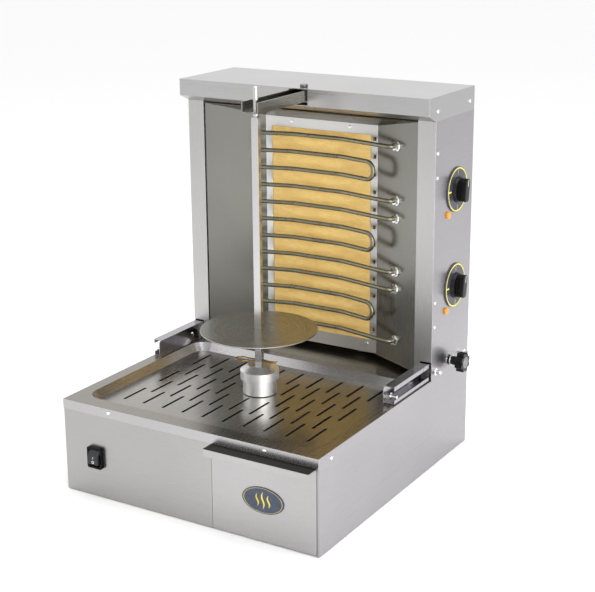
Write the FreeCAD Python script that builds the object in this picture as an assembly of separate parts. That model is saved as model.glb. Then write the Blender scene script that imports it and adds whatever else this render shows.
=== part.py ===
import FreeCAD, Part
import math
import os

from FreeCAD import Placement, Rotation, Vector

# Vertical rotisserie grill: stainless base with a drip deck, a rear tower with a sliding
# electric heating block, and an upright turning spit driven from below.
# Millimetres. +Z is up, +X is the operator's right, the front faces -Y.
# Everything is drawn with y = 0 at the front face and moved to the base centre when saved.

# ---------------------------------------------------------------- driving dimensions
# body
body_width = 530.0
body_depth = 566.0
body_height = 700.0
sheet = 1.5                 # casing sheet
foot_height = 4.0
foot_radius = 13.0
foot_x, foot_inset = 228.0, 40.0
casing_gap = 1.5            # casing edges above the floor, outside the feet
deck_height = 175.0
tower_front = 406.0         # front face of the pillars
pillar_width = 35.0
pillar_return = 13.0        # inner fold of the pillar
notch_play_side = 1.0       # between a rail and its notch in the pillar
notch_play_top = 2.0

# hood
hood_overhang = 27.0
hood_face = 31.5
hood_skirt = 43.5
hood_slot_width = 40.0

# drip deck
lip_height = 18.0
rim_side = 24.0
rim_front = 30.0
rim_rear = 22.0
well_radius = 32.0
wall_lean = 9.0
plate_drop = 15.0
ledge = 10.0
well_drop = 29.0
slot_length = 66.0
slot_width = 5.0
slot_pitch_x = 43.0
slot_pitch_y = 52.8
slot_first_y = 115.0
slot_rows, slot_columns = 5, 10
plate_play = 1.0            # round the slotted plate
drain_radius = 18.0
drain_x, drain_y = 150.0, 190.0

# spit and drive
spit_y = 237.0
spit_turn = 11.0            # how far the square bar stands turned at rest, degrees
bar_side = 12.5
pin_radius = 5.0
pin_rise = 22.0             # pin above the hood
bar_drop = 29.0             # square bar under the hood's top
bar_seat = 22.5             # foot of the bar above the coupling's foot
disc_radius = 107.0
disc_thickness = 2.0
pin_below = 2.0             # axis of the disc's cross pin under the disc
cross_pin_radius = 2.0
disc_rise = 105.0           # disc above the deck
coupling_radius = 31.0
collar_radius = 35.5
cone_radius = 22.0
coupling_step = 28.0
collar_height = 16.0
cone_height = 9.5
shaft_radius = 8.0
shaft_reach = 19.0          # drive shaft inside the coupling
running_fit = 0.06
clip_wire = 1.4             # radius
clip_hole_play = 0.4
square_play = 0.25          # round the square bar in its socket
gear_module = 1.25
gear_teeth = 54
pinion_teeth = 12
gear_face = 12.0
tooth_play = 0.35
gearbox_gap = 4.5           # under the well
gearbox_height = 48.0
motor_radius = 32.0
bracket_sheet = 3.0
motor_shaft = 3.0           # radius

# top arm
arm_width = 34.0
arm_height = 20.0
arm_sheet = 2.0
arm_length = 268.0
arm_front = 218.0
arm_play = 0.5
pin_play = 0.3              # round the spit's pin in the arm's notch
clamp_y = 400.0
clamp_stem = 3.0
clamp_head = 7.5            # radius of the screw's head

# heating block
block_back = 460.0
block_front = 409.0
block_lift = 12.5           # lower edge above the deck
block_headroom = 68.5       # under the hood's sheet, at the back frame
block_half = 122.0          # half width at the back frame
mouth_gap = 2.8             # front edges inside the pillars
mouth_headroom = 46.0       # under the hood's sheet, at the front edges
window_half = 108.0
frame_sill = 25.5
frame_head = 19.0
frame_hole = 7.0            # side of the square holes beside the board
board_thickness = 12.0
board_overlap = 2.5         # board behind the side strips of the frame
tray_play = 0.3             # between board and tray
run_count = 12
run_inset_top = 10.0        # first run under the window's head
run_inset_bottom = 18.4     # last run above the window's sill
rod_radius = 4.0
rod_hole_play = 0.3
run_flat = 54.0             # half length of the straight middle of a run
run_depth = 447.0
end_half = 130.0            # how far out the hairpins are centred
end_depth = 427.5
terminal_x = 175.0
carriage_travel = 60.0

# rails
rail_inset = 22.0           # rail's inner face from the side face
rail_width = 19.0
rail_gap = 0.8              # rail above the deck
rail_height = 33.2
rail_lip = 8.0
rail_front = 258.0
sight_hole_y = 366.0
sight_hole_radius = 4.5
stop_bolt_radius = 3.0
guide_play = 0.5            # round a slide block in its rail
rail_rear = 556.0
guide_front_y = 414.0
guide_rear_y = 537.0
clamp_knob_y = 487.0
star_radius = 19.0
star_lobes = 8
star_depth = 14.0
star_neck = 8.5
star_reach = 32.0           # knob face outside the side panel

# drawer
drawer_left = 55.0
drawer_right = 260.0
drawer_bottom = 2.5
tray_lift = 9.5             # tray above the drawer's lower edge
drawer_gap = 0.5            # under the deck lip
drawer_seam_left = 0.6
drawer_seam_right = 1.2
drawer_corner = 5.0
drawer_depth = 330.0
tray_clear = 24.5           # tray's rim under the well
tray_sheet = 1.2
grip_reach = 25.0
grip_drop = 13.0
badge_half_width = 41.0
badge_half_height = 23.5
badge_z = 77.5
badge_thickness = 1.2

# controls
dial_y = 497.0
dial_spacing = 182.0
dial_pair_drop = 4.75       # middle of the pair under the middle of the free side
dial_radius = 42.0
dial_thickness = 3.0
dial_knob_radius = 24.0
dial_knob_reach = 20.0
lamp_back = 35.0            # lamp ahead of the dial
lamp_drop = 41.5            # lamp under the dial
lamp_radius = 6.5
lamp_stem = 5.1
spindle_hole = 5.0
spindle_radius = 3.0
switch_x, switch_z = -195.0, 77.0
switch_width, switch_height = 32.0, 40.0
switch_reach = 7.0
switch_body_width, switch_body_height = 25.6, 33.6
snap_play = 0.2             # round a body that snaps into a sheet
rocker_width, rocker_half = 22.0, 14.0
rocker_tilt = 11.0
rocker_pivot_y = 1.5        # behind the front face
rocker_play = 0.7

# supply cable gland
gland_x, gland_z = -225.0, 60.0
gland_radius = 8.0
gland_reach = 7.0

# screws and bolts
screw_head = 3.4
screw_shank = 1.9
screw_hole = 2.1
bolt_radius = 4.0
bolt_hole = 4.3

# ---------------------------------------------------------------- worked-out values
half = body_width / 2
inside = half - sheet
deck_under = deck_height - sheet
lip_bottom = deck_height - lip_height
pillar_inner = half - pillar_width
rail_inner = half - rail_inset
notch_inner = rail_inner - notch_play_side
skirt_z = body_height - hood_skirt
face_z = body_height - hood_face
hood_front = tower_front - hood_overhang
hood_under = body_height - sheet
plate_top = deck_height - plate_drop
well_floor = deck_height - well_drop
rail_bottom = deck_height + rail_gap
rail_top = rail_bottom + rail_height
rail_mid = (rail_bottom + rail_top) / 2
notch_top = rail_top + notch_play_top
rail_outer = rail_inner + rail_width
web_outer = rail_inner + sheet
coupling_bottom = plate_top + 0.5
bar_top = body_height - bar_drop
bar_bottom = coupling_bottom + bar_seat
pin_top = body_height + pin_rise
disc_z = deck_height + disc_rise
shaft_top = coupling_bottom + shaft_reach
gearbox_bottom = well_floor - sheet - gearbox_gap - gearbox_height
gear_radius = gear_module * gear_teeth / 2
pinion_radius = gear_module * pinion_teeth / 2
motor_y = spit_y + gear_radius + pinion_radius
arm_bottom = hood_under - arm_play * 3 - arm_height
drawer_top = lip_bottom - drawer_gap
block_bottom = deck_height + block_lift
block_top = hood_under - block_headroom
mouth_half = pillar_inner - mouth_gap
mouth_top = hood_under - mouth_headroom
window_bottom = block_bottom + frame_sill
window_top = block_top - frame_head
first_run_z = window_top - run_inset_top
run_pitch = (first_run_z - window_bottom - run_inset_bottom) / (run_count - 1)
dial_middle = (rail_top + skirt_z) / 2 - dial_pair_drop
dial_z = (dial_middle + dial_spacing / 2, dial_middle - dial_spacing / 2)
jamb = drawer_left - drawer_seam_left
origin_y = (body_depth + gland_reach - grip_reach) / 2

X = Vector(1, 0, 0)
Y = Vector(0, 1, 0)
Z = Vector(0, 0, 1)

os.makedirs("parts", exist_ok=True)


# ---------------------------------------------------------------- helpers
def save(name, shape):
    """Move a piece into the object's own frame and write it."""
    placed = shape.copy()
    placed.translate(Vector(0, -origin_y, 0))
    if not placed.isValid():
        raise ValueError(name + " is not valid")
    placed.exportStep("parts/" + name + ".step")
    return placed


def block(x0, x1, y0, y1, z0, z1):
    return Part.makeBox(x1 - x0, y1 - y0, z1 - z0, Vector(x0, y0, z0))


def rod(radius, start, end):
    way = end - start
    return Part.makeCylinder(radius, way.Length, start, way)


def mirrored(shape):
    return shape.mirror(Vector(0, 0, 0), X)


def joined(shapes):
    first = shapes[0]
    return first.fuse(shapes[1:]).removeSplitter() if len(shapes) > 1 else first


def cut_all(shape, tools):
    return shape.cut(Part.makeCompound(tools)) if tools else shape


def prism(points, way):
    """A flat outline pushed along a vector."""
    return Part.Face(Part.makePolygon(points + [points[0]])).extrude(way)


def rounded_outline(x0, x1, y0, y1, radius, z):
    """Closed rounded-rectangle wire at height z."""
    corners = [(x1 - radius, y0 + radius, -90), (x1 - radius, y1 - radius, 0),
               (x0 + radius, y1 - radius, 90), (x0 + radius, y0 + radius, 180)]
    edges, ends = [], []
    for cx, cy, start in corners:
        at = [Vector(cx + radius * math.cos(math.radians(start + turn)),
                     cy + radius * math.sin(math.radians(start + turn)), z) for turn in (0, 45, 90)]
        edges.append(Part.Arc(*at).toShape())
        ends.append((at[0], at[2]))
    for index, (_, end) in enumerate(ends):
        edges.append(Part.makeLine(end, ends[(index + 1) % 4][0]))
    return Part.Wire(Part.__sortEdges__(edges))


def rounded_block(x0, x1, y0, y1, z0, z1, radius):
    return Part.Face(rounded_outline(x0, x1, y0, y1, radius, z0)).extrude(Vector(0, 0, z1 - z0))


def hexagon(centre, axis, across_flats, height):
    radius = across_flats / math.sqrt(3)
    points = [Vector(radius * math.cos(math.radians(60 * k)), radius * math.sin(math.radians(60 * k)), 0)
              for k in range(6)]
    solid = prism(points, Vector(0, 0, height))
    solid.Placement = Placement(centre, Rotation(Z, axis))
    return solid


def bent_wire(points, radii):
    """Straight runs joined by tangent arcs, one radius for each inner point."""
    edges, last = [], points[0]
    for index in range(1, len(points) - 1):
        before = (points[index - 1] - points[index]).normalize()
        after = (points[index + 1] - points[index]).normalize()
        turn = math.pi - before.getAngle(after)
        reach = radii[index - 1] * math.tan(turn / 2)
        start = points[index] + before * reach
        end = points[index] + after * reach
        bisector = (before + after).normalize()
        centre = points[index] + bisector * (radii[index - 1] / math.cos(turn / 2))
        middle = centre - bisector * radii[index - 1]
        if (start - last).Length > 0.01:
            edges.append(Part.makeLine(last, start))
        edges.append(Part.Arc(start, middle, end).toShape())
        last = end
    edges.append(Part.makeLine(last, points[-1]))
    return Part.Wire(edges)


def bent_rod(points, radii, radius):
    """A round rod that follows the path of bent_wire."""
    path = bent_wire(points, radii)
    way = points[1] - points[0]
    ring = Part.Wire(Part.makeCircle(radius, points[0], way))
    return path.makePipeShell([ring], True, True)


def screw(point, outward):
    """Pan-head screw: head outside, shank through the sheets behind it."""
    head = rod(screw_head, point, point + outward * 2.0)
    edge = [e for e in head.Edges if abs(e.CenterOfMass.sub(point).dot(outward) - 2.0) < 0.01]
    head = head.makeFillet(1.2, edge)
    return head.fuse(rod(screw_shank, point + outward * 0.01, point - outward * 7.0))


def drilled(shape, spots, radius=screw_hole, reach=9.0):
    """Holes through a sheet at (point, outward) spots."""
    tools = [rod(radius, point + way * reach, point - way * reach) for point, way in spots]
    return cut_all(shape, tools)


def spit_frame(shape):
    """Turn a piece drawn about the origin by the spit's rest angle and put it on the spit axis."""
    placed = shape.copy()
    placed.Placement = Placement(Vector(0, spit_y, 0), Rotation(Z, spit_turn)).multiply(placed.Placement)
    return placed


# ---------------------------------------------------------------- where the screws sit
lip_screws = [(Vector(x, -sheet, lip_bottom + lip_height * 0.6), -Y) for x in (-162, 162)]
deck_side_screws = [(Vector(side * half, 38, lip_bottom + 6), X * side) for side in (-1, 1)]
pillar_screws = [(Vector(side * half, tower_front + 9, z), X * side)
                 for side in (-1, 1)
                 for z in (deck_height + 102, deck_height + 148.6, skirt_z - 102, skirt_z - 57.8)]
hood_screws = [(Vector(side * half, y, body_height - 26), X * side)
               for side in (-1, 1) for y in (tower_front + 6, body_depth - 20)]
frame_spots = [(Vector(x, block_back, block_top - 8), -Y) for x in (-63, 63)]
frame_spots += [(Vector(x, block_back, window_bottom - 8), -Y) for x in (-102, 102)]
guide_spots = [Vector(0, y, rail_mid) for y in (guide_front_y, guide_rear_y)]


# ---------------------------------------------------------------- casing
def side_panel(side):
    """L-shaped side sheet: base side and tower side in one piece, drawn for +X."""
    front = tower_front + sheet
    outline = [Vector(inside, 0, casing_gap), Vector(inside, body_depth, casing_gap),
               Vector(inside, body_depth, skirt_z), Vector(inside, front, skirt_z),
               Vector(inside, front, deck_under), Vector(inside, 0, deck_under)]
    panel = prism(outline, X * sheet)
    flange_front = 0 if side > 0 else sheet
    flange_low = casing_gap if side > 0 else foot_height + sheet
    reach = half - drawer_right - drawer_seam_right if side > 0 else 15.0
    flange = block(half - reach, inside, flange_front, flange_front + sheet, flange_low, lip_bottom)
    panel = joined([panel, flange])
    spots = [(Vector(half, p.y, p.z), X) for p, way in deck_side_screws + pillar_screws if way.x > 0]
    panel = drilled(panel, spots)
    bolts = [(Vector(half, p.y, p.z), X) for p in guide_spots] + [(Vector(half, clamp_knob_y, rail_mid), X)]
    panel = drilled(panel, bolts, bolt_hole)
    if side > 0:
        panel = drilled(panel, [(Vector(half, dial_y, z), X) for z in dial_z], spindle_hole)
        panel = drilled(panel, [(Vector(half, dial_y - lamp_back, z - lamp_drop), X) for z in dial_z],
                        lamp_stem + snap_play / 2)
        return panel
    return mirrored(panel)


def base_tray():
    """Bottom sheet with upturned edges; open at the front for the drawer."""
    low, high = foot_height, foot_height + sheet
    wall_top = high + 15
    back = body_depth - sheet
    tray = joined([
        block(-inside, inside, sheet, back, low, high),
        block(-inside, -inside + sheet, sheet * 2, back, low, wall_top),
        block(inside - sheet, inside, sheet, back, low, wall_top),
        block(-inside, inside, back - sheet, back, low, wall_top),
        block(-inside + 15, jamb - sheet, sheet, sheet * 2, low, wall_top)])
    vents = [rounded_block(x - 3, x + 3, 360, 440, 0, 10, 2.9) for x in range(-60, 61, 20)]
    return cut_all(tray, vents)


def front_panel():
    """Front sheet beside and over the drawer, with the jamb of the drawer opening."""
    panel = joined([
        block(-inside, jamb, 0, sheet, casing_gap, deck_under),
        block(jamb, inside - 3, 0, sheet, lip_bottom + 1, deck_under),
        block(jamb - sheet, jamb, 0, 16, foot_height + sheet, deck_under)])
    wide, tall = switch_body_width / 2 + snap_play, switch_body_height / 2 + snap_play
    opening = block(switch_x - wide, switch_x + wide, -1, 3, switch_z - tall, switch_z + tall)
    return drilled(panel.cut(opening), lip_screws)


def rear_cover():
    """Back sheet with two banks of cooling slots and the cable hole."""
    cover = block(-inside, inside, body_depth - sheet, body_depth, casing_gap, skirt_z)
    slots = []
    for bank_x in (-130, 130):
        for bank_z in (40, body_height - 140):
            for row in range(5):
                z = bank_z + row * 14
                slots.append(block(bank_x - 45, bank_x + 45, body_depth - 5, body_depth + 5, z, z + 5))
    gland = Vector(gland_x, body_depth, gland_z)
    return cut_all(cover, slots + [rod(gland_radius + 0.2, gland - Y * 5, gland + Y * 5)])


def feet():
    spots = [Vector(x, y, 0) for x in (-foot_x, foot_x) for y in (foot_inset, body_depth - foot_inset)]
    return Part.makeCompound([Part.makeCone(foot_radius - 2, foot_radius, foot_height, at, Z)
                              for at in spots])


def hood():
    """Folded hood: flat top, short front face, sloping return to the pillars, open below."""
    slope = math.atan2(face_z - skirt_z, hood_overhang)
    lift_y, lift_z = sheet * math.sin(slope), sheet * math.cos(slope)
    drop = math.tan(slope)
    outer = prism([Vector(-half, hood_front, face_z), Vector(-half, hood_front, body_height),
                   Vector(-half, body_depth, body_height), Vector(-half, body_depth, skirt_z),
                   Vector(-half, tower_front, skirt_z)], X * body_width)
    front_in = hood_front + sheet
    corner_z = face_z + lift_z - (front_in - hood_front - lift_y) * drop
    end_y = tower_front + lift_y
    inner = prism([Vector(-inside, front_in, corner_z), Vector(-inside, front_in, hood_under),
                   Vector(-inside, body_depth - sheet, hood_under),
                   Vector(-inside, body_depth - sheet, skirt_z - 5), Vector(-inside, end_y, skirt_z - 5),
                   Vector(-inside, end_y, skirt_z + lift_z)], X * inside * 2)
    slot = block(-hood_slot_width / 2, hood_slot_width / 2, hood_front - 1, front_in + 0.5,
                 face_z + sheet, hood_under)
    clamp_hole = rod(clamp_stem + 0.5, Vector(0, clamp_y, hood_under - 5),
                     Vector(0, clamp_y, body_height + 5))
    return drilled(outer.cut(inner).cut(slot).cut(clamp_hole), hood_screws)


def pillar(side):
    """Narrow strip at the tower's front corner, notched for the rail, drawn for +X."""
    front = block(pillar_inner, half, tower_front, tower_front + sheet, deck_height, skirt_z)
    front = front.cut(block(notch_inner, half + 1, tower_front - 1, tower_front + 3, deck_height - 1,
                            notch_top))
    inner = block(pillar_inner, pillar_inner + sheet, tower_front, tower_front + pillar_return,
                  deck_height, skirt_z)
    outer = block(inside - sheet, inside, tower_front, tower_front + 21, notch_top + 1, skirt_z - 1)
    strip = joined([front, inner, outer])
    strip = drilled(strip, [(p, way) for p, way in pillar_screws if way.x > 0])
    return strip if side > 0 else mirrored(strip)


# ---------------------------------------------------------------- deck and drawer
well_x = half - rim_side
well_y0 = rim_front
well_y1 = tower_front - rim_rear
seat_x = well_x - wall_lean
seat_y0 = well_y0 + wall_lean
seat_y1 = well_y1 - wall_lean
seat_radius = well_radius - wall_lean
floor_x = seat_x - ledge
floor_y0 = seat_y0 + ledge
floor_y1 = seat_y1 - ledge
floor_radius = seat_radius - ledge / 2


def top_deck():
    """Deck sheet: rim, front lip, leaning well wall, ledge for the slotted plate, drain floor."""
    rim = block(-half, half, 0, tower_front, deck_under, deck_height)
    lip = block(-half, half, -sheet, 0, lip_bottom, deck_height)
    tabs = [block(side * (inside - sheet / 2) - sheet / 2, side * (inside - sheet / 2) + sheet / 2,
                  5, tower_front - 5, lip_bottom, deck_under) for side in (-1, 1)]
    seat_z = plate_top - sheet
    outer = Part.makeLoft([
        rounded_outline(-well_x - sheet, well_x + sheet, well_y0 - sheet, well_y1 + sheet,
                        well_radius + sheet, deck_height),
        rounded_outline(-seat_x - sheet, seat_x + sheet, seat_y0 - sheet, seat_y1 + sheet,
                        seat_radius + sheet, seat_z - sheet)], True, True)
    inner = Part.makeLoft([
        rounded_outline(-well_x, well_x, well_y0, well_y1, well_radius, deck_height),
        rounded_outline(-seat_x, seat_x, seat_y0, seat_y1, seat_radius, seat_z)], True, True)
    well_out = rounded_block(-floor_x - sheet, floor_x + sheet, floor_y0 - sheet, floor_y1 + sheet,
                             well_floor - sheet, seat_z, floor_radius + sheet)
    well_in = rounded_block(-floor_x, floor_x, floor_y0, floor_y1, well_floor, seat_z + 1, floor_radius)
    spout = rod(shaft_radius + 6, Vector(0, spit_y, well_floor - sheet / 2), Vector(0, spit_y, seat_z - 3))
    bore = rod(shaft_radius + 4.5, Vector(0, spit_y, 0), Vector(0, spit_y, deck_height))
    drain = rod(drain_radius, Vector(drain_x, drain_y, 0), Vector(drain_x, drain_y, deck_height))
    deck = rim.fuse([lip, outer, well_out] + tabs).cut(inner).cut(well_in).fuse(spout)
    deck = cut_all(deck, [bore, drain]).removeSplitter()
    deck = drilled(deck, lip_screws, reach=1.6)
    return drilled(deck, deck_side_screws)


def slotted_plate():
    """Loose plate on the ledge; staggered slots run front to back and miss the coupling."""
    play = plate_play
    plate = rounded_block(-seat_x + play, seat_x - play, seat_y0 + play, seat_y1 - play,
                          plate_top - sheet, plate_top, seat_radius - play)
    cuts = [rod(shaft_radius + 7, Vector(0, spit_y, plate_top - 5), Vector(0, spit_y, plate_top + 5))]
    for row in range(slot_rows):
        y = slot_first_y + row * slot_pitch_y
        count = slot_columns - row % 2
        for column in range(count):
            x = (column - (count - 1) / 2) * slot_pitch_x
            clear = max(abs(spit_y - y) - slot_length / 2, 0)
            if math.hypot(x, clear) < coupling_radius + 4:
                continue
            cuts.append(rounded_block(x - slot_width / 2, x + slot_width / 2, y - slot_length / 2,
                                      y + slot_length / 2, plate_top - 5, plate_top + 5,
                                      slot_width / 2 - 0.05))
    return cut_all(plate, cuts)


def tower_floor():
    floor = block(-inside, inside, tower_front, body_depth - sheet, deck_under, deck_height)
    slots = [block(x - 60, x + 60, 520, 526, deck_height - 5, deck_height + 5) for x in (-90, 90)]
    return cut_all(floor, slots)


def drawer_front():
    """Drawer face with its top edge folded out and down as a grip."""
    face = block(drawer_left, drawer_right, 0, sheet, drawer_bottom, drawer_top)
    corner = drawer_corner
    trim = block(drawer_right - corner, drawer_right + 1, -1, 3, drawer_bottom - 1, drawer_bottom + corner)
    trim = trim.cut(rod(corner, Vector(drawer_right - corner, -1, drawer_bottom + corner),
                        Vector(drawer_right - corner, 3, drawer_bottom + corner)))
    ledge_top = block(drawer_left, drawer_right, -grip_reach, sheet, drawer_top - sheet, drawer_top)
    fold = block(drawer_left, drawer_right, -grip_reach, -grip_reach + sheet, drawer_top - grip_drop,
                 drawer_top)
    nip = 5.0
    bevel = prism([Vector(drawer_right - nip, -grip_reach - 1, drawer_top - grip_drop - 0.01),
                   Vector(drawer_right + 0.1, -grip_reach - 1, drawer_top - grip_drop - 0.01),
                   Vector(drawer_right + 0.1, -grip_reach - 1, drawer_top - grip_drop + nip)], Y * 4)
    return joined([face.cut(trim), ledge_top, fold.cut(bevel)])


tray_left, tray_right = drawer_left + 7, drawer_right - 8
tray_low = drawer_bottom + tray_lift
tray_height = well_floor - sheet - tray_clear - tray_low


def drawer_tray():
    """Open grease tray behind the drawer face."""
    outer = block(tray_left, tray_right, sheet, drawer_depth, tray_low, tray_low + tray_height)
    return outer.cut(block(tray_left + tray_sheet, tray_right - tray_sheet, sheet + tray_sheet,
                           drawer_depth - tray_sheet, tray_low + tray_sheet, tray_low + tray_height + 1))


def drawer_runners():
    """Two angles on the base that carry and guide the tray."""
    low = foot_height + sheet
    top = tray_low - 0.5
    pieces = []
    for edge, out in ((tray_left, -1), (tray_right, 1)):
        guide = edge + out * 1.5
        upright = sorted((guide, guide + out * sheet))
        shelf = sorted((guide, edge - out * 10))
        pieces.append(joined([
            block(upright[0], upright[1], sheet + 16, drawer_depth + 12, low, top + 12),
            block(shelf[0], shelf[1], sheet + 16, drawer_depth + 12, top - sheet, top)]))
    stop = block(tray_left, tray_right, drawer_depth + 3, drawer_depth + 3 + sheet, low, low + 20)
    return Part.makeCompound(pieces + [stop])


def badge_plate():
    oval = Part.Ellipse(Vector(0, 0, 0), badge_half_width, badge_half_height).toShape()
    plate = Part.Face(Part.Wire(oval)).extrude(Vector(0, 0, badge_thickness))
    middle = (drawer_left + drawer_right) / 2
    plate.Placement = Placement(Vector(middle, 0, badge_z), Rotation(X, 90))
    return plate


# ---------------------------------------------------------------- spit and drive
def spit_rod():
    side = bar_side / 2
    bar = block(-side, side, -side, side, bar_bottom, bar_top - 3)
    tip = rounded_outline(-pin_radius, pin_radius, -pin_radius, pin_radius, pin_radius * 0.9, bar_top)
    base = rounded_outline(-side, side, -side, side, 0.3, bar_top - 3)
    shoulder = Part.makeLoft([base, tip], True, True)
    pin = rod(pin_radius, Vector(0, 0, bar_top - 1), Vector(0, 0, pin_top - 1.2))
    nose = Part.makeCone(pin_radius, pin_radius - 1.2, 1.2, Vector(0, 0, pin_top - 1.2), Z)
    body = joined([bar, shoulder, pin, nose])
    clip_hole = rod(clip_wire + clip_hole_play, Vector(-20, 0, clip_z), Vector(20, 0, clip_z))
    pin_hole = rod(cross_pin_radius + 0.05, Vector(-20, 0, disc_z - pin_below),
                   Vector(20, 0, disc_z - pin_below))
    return spit_frame(cut_all(body, [clip_hole, pin_hole]))


clip_z = coupling_bottom + coupling_step + collar_height + cone_height + 5.0


def spit_disc():
    hole = bar_side / 2 + 0.2
    disc = Part.makeCylinder(disc_radius, disc_thickness, Vector(0, 0, disc_z), Z)
    edges = [e for e in disc.Edges if abs(e.Length - 2 * math.pi * disc_radius) < 0.1]
    disc = disc.makeFillet(0.6, edges)
    return spit_frame(disc.cut(block(-hole, hole, -hole, hole, disc_z - 1, disc_z + 5)))


def disc_pin():
    z = disc_z - pin_below
    return spit_frame(rod(cross_pin_radius, Vector(-13, 0, z), Vector(13, 0, z)))


def spit_clip():
    """Spring clip: one leg through the bar, the other hugging it, with a round eye."""
    hug = bar_side / 2 + clip_wire + 0.75
    flat = [(32, 0), (-22, 0), (-34, -7), (-46, -4), (-49, 7), (-38, 15), (-26, hug + 2.1), (-12, hug),
            (11, hug), (18, 3.6), (25, 3.6), (32, 8)]
    points = [Vector(x, y, clip_z) for x, y in flat]
    radii = [12, 7, 6.5, 7, 7.5, 12, 14, 5, 5, 5]
    return spit_frame(bent_rod(points, radii, clip_wire))


def spit_coupling():
    """Turned coupling: skirt, collar and cone; square socket above, shaft bore below."""
    z1 = coupling_bottom + coupling_step
    z2 = z1 + collar_height
    z3 = z2 + cone_height
    outline = [Vector(0, 0, coupling_bottom), Vector(coupling_radius - 1, 0, coupling_bottom),
               Vector(coupling_radius, 0, coupling_bottom + 1), Vector(coupling_radius, 0, z1 - 2),
               Vector(collar_radius, 0, z1), Vector(collar_radius, 0, z2), Vector(cone_radius, 0, z3),
               Vector(0, 0, z3)]
    solid = Part.Face(Part.makePolygon(outline + [outline[0]])).revolve(Vector(0, 0, 0), Z, 360)
    socket = bar_side / 2 + square_play
    tools = [block(-socket, socket, -socket, socket, bar_bottom - 0.5, z3 + 1),
             rod(shaft_radius + running_fit, Vector(0, 0, 0), Vector(0, 0, shaft_top + 0.5)),
             rod(3.2, Vector(16, 0, z2 - 6), Vector(60, 0, z2 - 6))]
    return spit_frame(cut_all(solid, tools))


gear_bottom = gearbox_bottom + 7.0


def drive_shaft():
    low = gearbox_bottom + 4.0
    return rod(shaft_radius, Vector(0, spit_y, low), Vector(0, spit_y, shaft_top))


def gear(teeth, bore, face, centre, phase):
    """Spur gear with straight-sided teeth, thinned for backlash."""
    pitch_radius = gear_module * teeth / 2
    root, tip = pitch_radius - 1.25 * gear_module, pitch_radius + 0.9 * gear_module
    points = []
    for tooth in range(teeth):
        middle = 2 * math.pi * tooth / teeth + phase
        thick = math.pi * gear_module / 2 - tooth_play
        for radius, width in ((root, thick * 1.5), (pitch_radius, thick), (tip, thick * 0.45)):
            points.append((radius, middle - width / 2 / radius))
        for radius, width in ((tip, thick * 0.45), (pitch_radius, thick), (root, thick * 1.5)):
            points.append((radius, middle + width / 2 / radius))
    outline = [Vector(r * math.cos(a), r * math.sin(a), 0) for r, a in points]
    solid = prism(outline, Vector(0, 0, face))
    solid.translate(centre)
    return solid.cut(rod(bore, centre - Z, centre + Z * (face + 1)))


def drive_gear():
    return gear(gear_teeth, shaft_radius + 0.02, gear_face, Vector(0, spit_y, gear_bottom), math.pi / 2)


def motor_pinion():
    """Pinion with its motor shaft; a tooth gap faces the drive gear's tooth."""
    centre = Vector(0, motor_y, gear_bottom - 1)
    phase = -math.pi / 2 + math.pi / pinion_teeth
    wheel = gear(pinion_teeth, motor_shaft - 0.1, gear_face + 2, centre, phase)
    return joined([wheel, rod(motor_shaft, Vector(0, motor_y, gearbox_bottom - 14),
                                          centre + Z * (gear_face + 5))])


def gearbox_housing():
    """Cast housing, open below, with the bearing boss of the output shaft on top."""
    wall = 3.5
    y0, y1 = spit_y - gear_radius - 7, motor_y + pinion_radius + 9
    side = gear_radius + 7
    top = gearbox_bottom + gearbox_height
    outer = rounded_block(-side, side, y0, y1, gearbox_bottom, top, 10)
    cavity = rounded_block(-side + wall, side - wall, y0 + wall, y1 - wall, gearbox_bottom - 1, top - wall,
                           7)
    boss = rod(shaft_radius + 6, Vector(0, spit_y, top - 16), Vector(0, spit_y, top + 3))
    bore = rod(shaft_radius + running_fit, Vector(0, spit_y, 0), Vector(0, spit_y, 200))
    return outer.cut(cavity).fuse(boss).cut(bore).removeSplitter()


def motor_bracket():
    """Bridge from the base that carries the gearbox, the motor hanging below it."""
    low = foot_height + sheet
    thick = bracket_sheet
    side = gear_radius + 9
    y0, y1 = spit_y - gear_radius - 20, motor_y + motor_radius + 14
    plate = block(-side, side, y0, y1, gearbox_bottom - thick, gearbox_bottom)
    legs = [block(-side, side, y0, y0 + thick, low, gearbox_bottom),
            block(-side, side, y1 - thick, y1, low, gearbox_bottom)]
    toes = [block(-side, side, y0 - 14, y0, low, low + thick),
            block(-side, side, y1, y1 + 14, low, low + thick)]
    hole = rod(6.0, Vector(0, motor_y, gearbox_bottom - 20), Vector(0, motor_y, gearbox_bottom + 20))
    return joined([plate] + legs + toes).cut(hole)


def motor_can():
    top = gearbox_bottom - bracket_sheet
    can = rod(motor_radius, Vector(0, motor_y, foot_height + 10), Vector(0, motor_y, top))
    ring = [e for e in can.Edges if len(e.Vertexes) == 1 and e.CenterOfMass.z < 50]
    can = can.makeFillet(4.0, ring)
    return can.cut(rod(motor_shaft + running_fit, Vector(0, motor_y, top - 12), Vector(0, motor_y, top + 5)))


# ---------------------------------------------------------------- top arm
def top_arm():
    """U channel, open above; the spit's pin turns in an open notch at its front end."""
    side = arm_width / 2
    back = arm_front + arm_length
    floor = block(-side, side, arm_front, back, arm_bottom, arm_bottom + arm_sheet)
    walls = [block(-side, -side + arm_sheet, arm_front, back, arm_bottom, arm_bottom + arm_height),
             block(side - arm_sheet, side, arm_front, back, arm_bottom, arm_bottom + arm_height)]
    hold = pin_radius + pin_play
    notch = joined([block(-hold, hold, arm_front - 1, spit_y, arm_bottom - 1, arm_bottom + 5),
                    rod(hold, Vector(0, spit_y, arm_bottom - 1), Vector(0, spit_y, arm_bottom + 5))])
    return joined([floor] + walls).cut(notch)


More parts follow.
